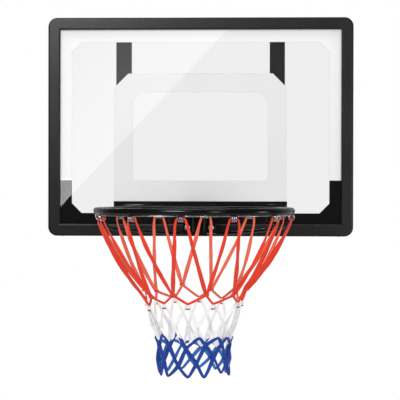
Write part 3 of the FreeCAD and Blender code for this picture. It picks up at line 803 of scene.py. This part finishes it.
def finished(name, body, slot, mesh, finish, *stands_for):
    """Makes a piece of drawn wire or tape."""
    bmesh.ops.recalc_face_normals(mesh, faces=mesh.faces)
    data = bpy.data.meshes.new(name)
    mesh.to_mesh(data)
    mesh.free()
    work = bpy.data.objects.new(name, data)
    bpy.context.scene.collection.objects.link(work)
    data.materials.append(finish)
    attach(work, body)
    if stands_for:
        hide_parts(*stands_for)
    return work


chance = random.Random(12)
spring_oxide = coating("spring_oxide", (0.012, 0.012, 0.012), (0.024, 0.022, 0.02), 0.38, 0.0005, 0.00004)
spring_low, spring_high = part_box("rim_springs")
spring_wire = 0.0015
spring_radius = (spring_high.z - spring_low.z) / 2 - spring_wire
spring_turns = 6.5
turn_steps = 16
closed_turns = 0.9
spring_foot = spring_high.y - spring_wire
spring_span = spring_high.y - spring_low.y - 2 * spring_wire
close_pitch = 2 * spring_wire + 0.0001
open_pitch = (spring_span - 2 * closed_turns * close_pitch) / (spring_turns - 2 * closed_turns)
springs = bmesh.new()
for side in (-1, 1):
    stations = []
    for step in range(int(spring_turns * turn_steps) + 1):
        turns = step / turn_steps
        low_turns = min(turns, closed_turns)
        high_turns = max(0.0, turns - (spring_turns - closed_turns))
        reach = (low_turns + high_turns) * close_pitch + (turns - low_turns - high_turns) * open_pitch
        turn = side * 2 * math.pi * turns
        out = Vector((side * math.cos(turn), 0, math.sin(turn)))
        centre = Vector((side * lower_x, spring_foot - reach, lower_z))
        stations.append((centre + out * spring_radius, out, 2 * spring_wire, 2 * spring_wire, 1.0))
    drawn(springs, stations, False, 0.0, 14, 2.0)
spring_pair = finished("spring_pair", "board", "spring_steel", springs, spring_oxide, "rim_springs")
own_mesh(spring_pair)

# The ring, a 16 mm bar bent round, with a brace rod at each side down to the
# moving plate, all powder coated black over their weld beads.
dress(rim_gloss, "ring", "brace_left", "brace_right")
ring_low, ring_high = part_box("ring")
ring_centre = (ring_low + ring_high) / 2
ring_bar = (ring_high.z - ring_low.z) / 2
ring_radius = (ring_high.x - ring_low.x) / 2 - ring_bar
neck_low, neck_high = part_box("neck_plate")
plate_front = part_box("carrier_plate")[0].y
gusset_low, gusset_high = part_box("carrier_gussets")
brace_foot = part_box("brace_right")[0].z
gusset_wall = 0.005
sleeve_drop = 0.0078
brace_angle = 110
brace_toe = 0.036
lap_points = 9
collar_points = 12
hook_count = 12
hook_offset = -5.0
hook_step = 360 / hook_count
bead_radius = 0.0022
bead_step = 0.0018
bead_facing = Vector((0.13, 0.4, 0.9)).normalized()


def around(angle):
    """The outward and the sideways direction at an angle round the ring, from its front."""
    turn = math.radians(angle)
    return Vector((math.sin(turn), -math.cos(turn), 0)), Vector((math.cos(turn), math.sin(turn), 0))


def bead(mesh, points, closed=False):
    """A weld bead along points, rippled as it was laid."""
    length = sum((b - a).length for a, b in zip(points, points[1:]))
    count = max(4, int(length / bead_step))
    stations = []
    for step in range(count if closed else count + 1):
        spot = step / count * (len(points) if closed else len(points) - 1)
        index = min(int(spot), len(points) - 1)
        after = (index + 1) % len(points) if closed else min(index + 1, len(points) - 1)
        place = points[index].lerp(points[after], spot - index)
        size = 2 * bead_radius * (1.0 + (0.13 if step % 2 else -0.09) + chance.uniform(-0.06, 0.06))
        if not closed and step in (0, count):
            size *= 0.55
        stations.append((place, bead_facing, size, size, 0.8))
    drawn(mesh, stations, closed, 0.0, 8, 2.0)


welds = bmesh.new()
neck_half = neck_high.x - 0.003
for height in (neck_high.z + 0.0002, neck_low.z - 0.0002):
    lap = []
    for step in range(lap_points):
        x = neck_half * (2 * step / (lap_points - 1) - 1)
        lap.append(Vector((x, ring_centre.y + math.sqrt((ring_radius + 0.0082) ** 2 - x * x), height)))
    bead(welds, lap)
under_neck = neck_low.z - 0.0004
sleeve_y, sleeve_z = plate_front - 0.0003, pin_z - sleeve_drop
for side in (-1, 1):
    for face in (gusset_high.x + 0.0004, gusset_high.x - gusset_wall - 0.0004):
        x, y = side * face, plate_front - 0.0002
        bead(welds, [Vector((x, y - 0.0038, under_neck)), Vector((x, gusset_low.y + 0.002, under_neck))])
        bead(welds, [Vector((x, y, pin_z - 0.011)), Vector((x, y, gusset_low.z + 0.002))])
    shoulder = side * (gusset_high.x + 0.006)
    bead(welds, [Vector((shoulder, sleeve_y, sleeve_z)), Vector((side * neck_half, sleeve_y, sleeve_z))])
    rod_top = brace_foot + 0.0082
    rod_heel = Vector((side * (gusset_high.x + 0.004), plate_front, rod_top))
    bead(welds, [rod_heel, Vector((side * brace_toe, plate_front, rod_top))])
    outward, aside = around(side * brace_angle)
    seat = ring_centre + outward * (ring_radius + 0.0068)
    collar = []
    for step in range(collar_points):
        turn = 2 * math.pi * step / collar_points
        away = outward * (math.cos(turn) * 0.0042) + aside * (math.sin(turn) * 0.0046)
        collar.append(seat + away - Vector((0, 0, 0.0055 + 0.003 * (1 - math.cos(turn)) / 2)))
    bead(welds, collar, True)
for hook in range(hook_count):
    outward, aside = around(hook_offset + hook_step * hook)
    for step in (-1, 1):
        middle = ring_centre + outward * (ring_radius + step * 0.0022) - Vector((0, 0, ring_bar + 0.0001))
        bead(welds, [middle - aside * 0.004, middle, middle + aside * 0.004])
finished("weld_beads", "rim", "rim_paint", welds, rim_gloss)

# One zinc plated wire under the ring, curled into a small coil at each of
# the twelve hooks, and tacked to the ring there.
hook_bright = plating("hook_bright", (0.72, 0.73, 0.74), (0.45, 0.46, 0.47), 0.24)
dress(hook_bright, "hook_wire")


# The net: flat braided tape. Red from the hooks to the first knots and tips,
# white below, blue at the foot, each band of closed loops that cross each
# other, wrapped where they meet. Each row of knots has a radius and a drop below
# the ring, in millimetres.
first_knots, red_tips, white_knots, blue_sides, blue_crossings, blue_feet, blue_tops = range(7)
net_rows = ((130, 192), (115, 219), (100, 270), (87, 314), (85, 354), (84, 389), (91, 292))
red_width = 0.0094
white_width = 0.007
blue_width = 0.0098
tape_thickness = 0.0018
crossing_spread = 0.0012
crossing_depth = 0.0012
red_depth = 0.0014
tip_lift = Vector((0, 0, 0.004))
white_inset = 0.004
blue_top_outset = 0.002
coil_bore_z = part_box("hook_wire")[1].z - 0.0075
coil_half = 0.0085
coil_spread = 0.0115
coil_below = Vector((0, 0, 0.006))
belly_slope = math.radians(30.5)
belly_least = 0.003
belly_more = 0.007
belly_change = 0.002
rear_from = -0.09

# Tape where it is drawn together: its width, its thickness and the ease of its bend.
in_bore = (0.005, 0.003, 0.9)
under_coil = (0.0054, 0.0026, 0.8)
at_first_knot = (0.0066, 0.0022, 0.35)
at_red_tip = (0.0058, 0.002, 0.2)
white_at_tip = (0.0048, 0.002, 0.25)
link_tape = (0.0026, 0.0014, 0.8)
link_half_width = 0.0024
link_inset = 0.0012
link_points = 10

# The bands wound round the knots: each one's height, half width and half depth.
red_wrap = (0.006, 0.0062, 0.0034)
tip_wrap = (0.005, 0.0052, 0.0030)
thread_wrap = (0.0024, 0.0044, 0.0030)
white_wrap = (0.004, 0.0046, 0.0028)
blue_wrap = (0.0055, 0.0056, 0.0034)
wrap_thickness = 0.0011
wrap_sag = 0.0006
wrap_points = 12

# Where the photograph's knots lie aside of an even net: degrees and millimetres,
# a row of twelve for each row of knots.
knot_turns = (
    (5, 6.5, 3, 0, -4.5, 2.7, 5.5, 9, 3, 0, 1, 0),
    (0, 0, 13, 0, 0, 0, 0, 0, 0, 0, 0, 0),
    (-3, 4.5, 0, 0, 0, 0, 0, 0, 0, 0, 0, -3.3),
    (-5.1, -4, -4, -4, -4, -4, -4, -4, -4, -4, -4, -4),
    (-3.8, -4.7, -3.8, -3.8, -3.8, -3.8, -3.8, -3.8, -3.8, -3.8, -3.8, -3.8),
    (-2.3, -6.4, -2.6, 0, 0, 0, 0, 0, 0, 0, 0, -9.8),
    (0, 0, -11.4, 0, 0, 0, 0, 0, 0, 0, 0, -2.5),
)
knot_lifts = (
    (0, -3, 12, 6, 10.6, -2.7, 6, -8, 0, 0, -8, 0),
    (0, 0, 0, 0, 0, 0, 0, 0, 0, 0, -9, 0),
    (0, 10, 0, 0, -4, -6, -6, -6, -4, 0, 0, 0),
    (-7, 0, 0, -4, -10, -14, -16, -14, -10, -4, 0, 0),
    (0, 14, 0, 0, -4, -8, -8, -8, -4, 0, 0, -9),
    (0, 0, 7, 0, 0, 0, 0, 0, 0, 0, 0, 0),
    (-5, -6, -8, -10, -18, -26, -28, -26, -18, -8, 0, 6),
)

# The rear knots, which the photograph hides, hang a little unevenly as well.
loose_turns = []
loose_lifts = []
for row in range(len(net_rows)):
    rear = [3 <= index <= 8 for index in range(hook_count)]
    loose_turns.append([chance.uniform(-2, 2) if hidden else 0.0 for hidden in rear])
    loose_lifts.append([chance.uniform(-3, 3) if hidden else 0.0 for hidden in rear])


def knot_angle(row, index):
    """The angle of a knot: even rows lie midway between the hooks, odd rows under them."""
    start = hook_offset + (hook_step / 2 if row % 2 == 0 else 0)
    column = index % hook_count
    return start + hook_step * index + knot_turns[row][column] + loose_turns[row][column]


def knot(row, index, down=0.0):
    """A knot's place, moved down by millimetres."""
    radius, drop = net_rows[row]
    outward = around(knot_angle(row, index))[0]
    column = index % hook_count
    fall = drop - knot_lifts[row][column] - loose_lifts[row][column] + down
    return ring_centre + outward * radius / 1000 - Vector((0, 0, fall / 1000))


def facing(angle, lead=None):
    """Which way a tape faces: outward, but slack tape at the sides turns to the front or the back."""
    turn = (angle + 180) % 360 - 180
    kept = 1 - 0.8 * abs(math.sin(math.radians(turn)))
    if math.cos(math.radians(angle if lead is None else lead)) < rear_from:
        return around(180 - (180 - turn % 360) * kept)[0]
    return around(turn * kept)[0]


def wrap(mesh, centre, angle, height, half_width, half_depth):
    """A closed band wound round a knot: it lies level, with its tape standing on edge."""
    outward, aside = around(angle)
    stations = []
    for step in range(wrap_points):
        turn = 2 * math.pi * step / wrap_points
        away = aside * (math.cos(turn) * half_width) + outward * (math.sin(turn) * half_depth)
        sag = Vector((0, 0, wrap_sag * math.sin(2 * turn + angle)))
        normal = (aside * math.cos(turn) + outward * math.sin(turn)).normalized()
        stations.append((centre + away + sag, normal, height, wrap_thickness, 0.9))
    drawn(mesh, stations, True, 0.0, 8)


def braided(name, outer, inner, groove_painted_shade, tape_edge_painted_shade):
    """Braided tape: chevron plaits across its width, with painted shade in their grooves and at its
    edges, and its inner face painted paler as painted light.
    """
    material, skin = surfaced(name)
    tree = material.node_tree
    skin.inputs["Specular IOR Level"].default_value = 0.2
    skin.inputs["Roughness"].default_value = 0.62
    skin.inputs["Sheen Weight"].default_value = 0.15
    place = joined(tree, "ShaderNodeUVMap", {})
    axes = joined(tree, "ShaderNodeSeparateXYZ", {0: place.outputs["UV"]})
    back = counted(tree, "GREATER_THAN", axes.outputs["X"], 0.5)
    half = counted(tree, "FRACT", counted(tree, "MULTIPLY", axes.outputs["X"], 2.0))
    from_middle = counted(tree, "ABSOLUTE", counted(tree, "SUBTRACT", half, 0.5))
    slant = counted(tree, "MULTIPLY", from_middle, 4.0)
    along = counted(tree, "MULTIPLY", axes.outputs["Y"], 5.5)
    phase = counted(tree, "MULTIPLY", counted(tree, "ADD", slant, along), 2 * math.pi)
    plait = counted(tree, "SINE", phase)
    columns = counted(tree, "COSINE", counted(tree, "MULTIPLY", half, 8 * math.pi))
    weave = counted(tree, "MULTIPLY", plait, counted(tree, "MULTIPLY_ADD", columns, 0.25))
    weave = ramped(tree, counted(tree, "ADD", plait, weave), -1.3, 1.3, 0.0, 1.0)
    spot = joined(tree, "ShaderNodeTexCoord", {}).outputs["Object"]
    noise = joined(tree, "ShaderNodeTexNoise", {"Vector": spot, "Scale": 45.0, "Detail": 4.0})
    cloud = noise.outputs["Fac"]
    # Painted light: the inner face takes the paler colour, so the rear strands, whose inner faces are
    # seen from the front, look lit.
    sides = {"Factor": back, "A": (*outer, 1), "B": (*inner, 1)}
    colour = joined(tree, "ShaderNodeMix", sides, data_type="RGBA").outputs["Result"]
    # Painted shade: the colour is darkened in the plaits' grooves and towards the tape's edges, where
    # shade falls.
    groove = ramped(tree, weave, 0.0, 0.7, groove_painted_shade, 1.0)
    edge = ramped(tree, from_middle, 0.24, 0.5, 1.0, tape_edge_painted_shade)
    worn = ramped(tree, cloud, 0.3, 0.7, 0.94, 1.04)
    shade = counted(tree, "MULTIPLY", counted(tree, "MULTIPLY", groove, edge), worn)
    grey = joined(tree, "ShaderNodeCombineColor", {0: shade, 1: shade, 2: shade}).outputs["Color"]
    dark = {"Factor": 1.0, "A": colour, "B": grey}
    final = joined(tree, "ShaderNodeMix", dark, data_type="RGBA", blend_type="MULTIPLY").outputs["Result"]
    bump = joined(tree, "ShaderNodeBump", {"Height": weave, "Distance": 0.0003, "Strength": 0.7})
    tree.links.new(final, skin.inputs["Base Color"])
    tree.links.new(bump.outputs["Normal"], skin.inputs["Normal"])
    return material


# Each braid: its outer colour, its inner colour painted paler as painted light, then the painted shade of
# its grooves and its edges.
red_braid = braided("red_braid", (0.9, 0.045, 0.014), (0.86, 0.14, 0.075), 0.8, 0.78)
white_braid = braided("white_braid", (0.93, 0.93, 0.935), (0.94, 0.94, 0.945), 0.9, 0.72)
blue_braid = braided("blue_braid", (0.006, 0.05, 0.34), (0.04, 0.18, 0.6), 0.75, 0.75)
thread_red = braided("thread_red", (0.5, 0.02, 0.012), (0.5, 0.02, 0.012), 0.8, 0.8)


def crossing(row, index, side, outward_push):
    """Where one tape crosses the other at a knot: a little aside, over or under."""
    outward, aside = around(knot_angle(row, index))
    return knot(row, index) + aside * side * crossing_spread + outward * outward_push


def coil_bore(outward):
    """The middle of a hook coil's bore."""
    return Vector((ring_centre.x, ring_centre.y, coil_bore_z)) + outward * ring_radius


def slack(angle):
    """How far a long red strand bellies out, more at the net's sides."""
    bulge = belly_least + belly_more * abs(math.sin(math.radians(angle)))
    return bulge + chance.uniform(-belly_change, belly_change)


def strand(start, start_angle, end, end_angle, lead, parts):
    """A long red strand's stations between two places: it bellies outward and down, in uneven tape."""
    bulge = slack(lead)
    stations = []
    for part in parts:
        angle = start_angle + (end_angle - start_angle) * part
        belly = around(angle)[0] * math.cos(belly_slope) - Vector((0, 0, math.sin(belly_slope)))
        spot = start.lerp(end, part) + belly * (bulge * 4 * part * (1 - part))
        width = red_width * chance.uniform(0.86, 1.16)
        stations.append((spot, facing(angle, lead), width, tape_thickness, 0.9))
    return stations


# The red band: two closed tapes that go through the bores of the hook
# coils, down to the first knots, to the tips, and up again.
red = bmesh.new()
for start in (0, 1):
    stations = []
    over = 1 if start else -1
    for hook in range(start, start + hook_count, 2):
        down_angle = hook_offset + hook_step * hook
        outward, aside = around(down_angle)
        bore = coil_bore(outward)
        inside = outward * 0.35 + Vector((0, 0, 0.94))
        stations.append((bore - aside * coil_half, inside, *in_bore))
        stations.append((bore + aside * coil_half, inside, *in_bore))
        top = bore + aside * coil_spread - coil_below
        stations.append((top, outward, *under_coil))
        foot = crossing(first_knots, hook, -1, red_depth * over)
        foot_angle = knot_angle(first_knots, hook)
        lead = down_angle + 8
        stations += strand(top, down_angle, foot, foot_angle, lead, (0.3, 0.62, 0.88))
        stations.append((foot, facing(foot_angle, lead), *at_first_knot))
        tip = knot(red_tips, hook + 1) + tip_lift
        stations.append((tip, facing(knot_angle(red_tips, hook + 1)), *at_red_tip))
        up_angle = down_angle + 2 * hook_step
        outward, aside = around(up_angle)
        top = coil_bore(outward) - aside * coil_spread - coil_below
        foot = crossing(first_knots, hook + 1, 1, -red_depth * over)
        foot_angle = knot_angle(first_knots, hook + 1)
        lead = up_angle - 8
        stations.append((foot, facing(foot_angle, lead), *at_first_knot))
        stations += strand(foot, foot_angle, top, up_angle, lead, (0.12, 0.38, 0.7))
        stations.append((top, outward, *under_coil))
    drawn(red, stations, True, 0.35)
for index in range(hook_count):
    wrap(red, knot(first_knots, index, 1.0), knot_angle(first_knots, index), *red_wrap)
finished("red_net", "rim", "red_cord", red, red_braid, "net_red")

# The white band: two closed tapes between the red tips, their own crossings
# and the blue band's sides, with a small link round each blue top.
white = bmesh.new()
for start in (0, 1):
    stations = []
    over = 1 if start else -1
    for tip in range(start, start + hook_count, 2):
        outward = facing(knot_angle(red_tips, tip))
        stations.append((knot(red_tips, tip, -2.0), outward, *white_at_tip))
        path_down = (
            (white_knots, tip, -1, over),
            (blue_sides, tip + 1, 0, 0),
            (white_knots, tip + 1, 1, -over),
        )
        for row, place, side, lift in path_down:
            angle = knot_angle(row, place)
            spot = crossing(row, place, side, crossing_depth * lift)
            if row == blue_sides:
                spot = spot - around(angle)[0] * white_inset
            width = white_width * chance.uniform(0.85, 1.15)
            ease_of_bend = 0.25 if row == blue_sides else 0.6
            stations.append((spot, facing(angle), width, tape_thickness, ease_of_bend))
    drawn(white, stations, True, 0.45)
for index in range(hook_count):
    wrap(white, knot(red_tips, index, 3.0), knot_angle(red_tips, index), *tip_wrap)
    wrap(white, knot(white_knots, index), knot_angle(white_knots, index), *white_wrap)
    upper, lower = knot(white_knots, index, 2.0), knot(blue_tops, index, -1.0)
    outward, aside = around(knot_angle(white_knots, index))
    link = []
    for step in range(link_points):
        turn = 2 * math.pi * step / link_points
        middle = upper.lerp(lower, 0.5 - 0.5 * math.cos(turn))
        middle = middle + aside * math.sin(turn) * link_half_width - outward * link_inset
        link.append((middle, outward, *link_tape))
    drawn(white, link, True, 0.2, 8)
finished("white_net", "rim", "white_cord", white, white_braid, "net_white")

# The blue band: three closed tapes, wound with short bands at their sides
# and crossings.
blue = bmesh.new()
for start in (0, 1, 2):
    stations = []
    for top in range(start, start + hook_count, 3):
        path_down = (
            (blue_tops, top, 0, 0),
            (blue_sides, top + 1, -1, 1),
            (blue_crossings, top + 1, -1, -1),
            (blue_feet, top + 2, 0, 0),
            (blue_crossings, top + 2, 1, 1),
            (blue_sides, top + 3, 1, -1),
        )
        for row, place, side, lift in path_down:
            angle = knot_angle(row, place)
            width = (0.006 if lift == 0 else blue_width) * chance.uniform(0.88, 1.15)
            ease_of_bend = 0.3 if lift == 0 else 0.6
            spot = crossing(row, place, side, crossing_depth * lift)
            if row == blue_tops:
                spot = spot + around(angle)[0] * blue_top_outset
            stations.append((spot, facing(angle), width, tape_thickness, ease_of_bend))
    drawn(blue, stations, True, 0.45)
for index in range(hook_count):
    for row in (blue_sides, blue_crossings):
        wrap(blue, knot(row, index), knot_angle(row, index), *blue_wrap)
finished("blue_net", "rim", "blue_cord", blue, blue_braid, "net_blue")

# Dark red thread that whips each red tip, just below the white band wound
# round it.
thread = bmesh.new()
for index in range(hook_count):
    wrap(thread, knot(red_tips, index, 8.0), knot_angle(red_tips, index), *thread_wrap)
finished("tip_thread", "rim", "red_cord", thread, thread_red)
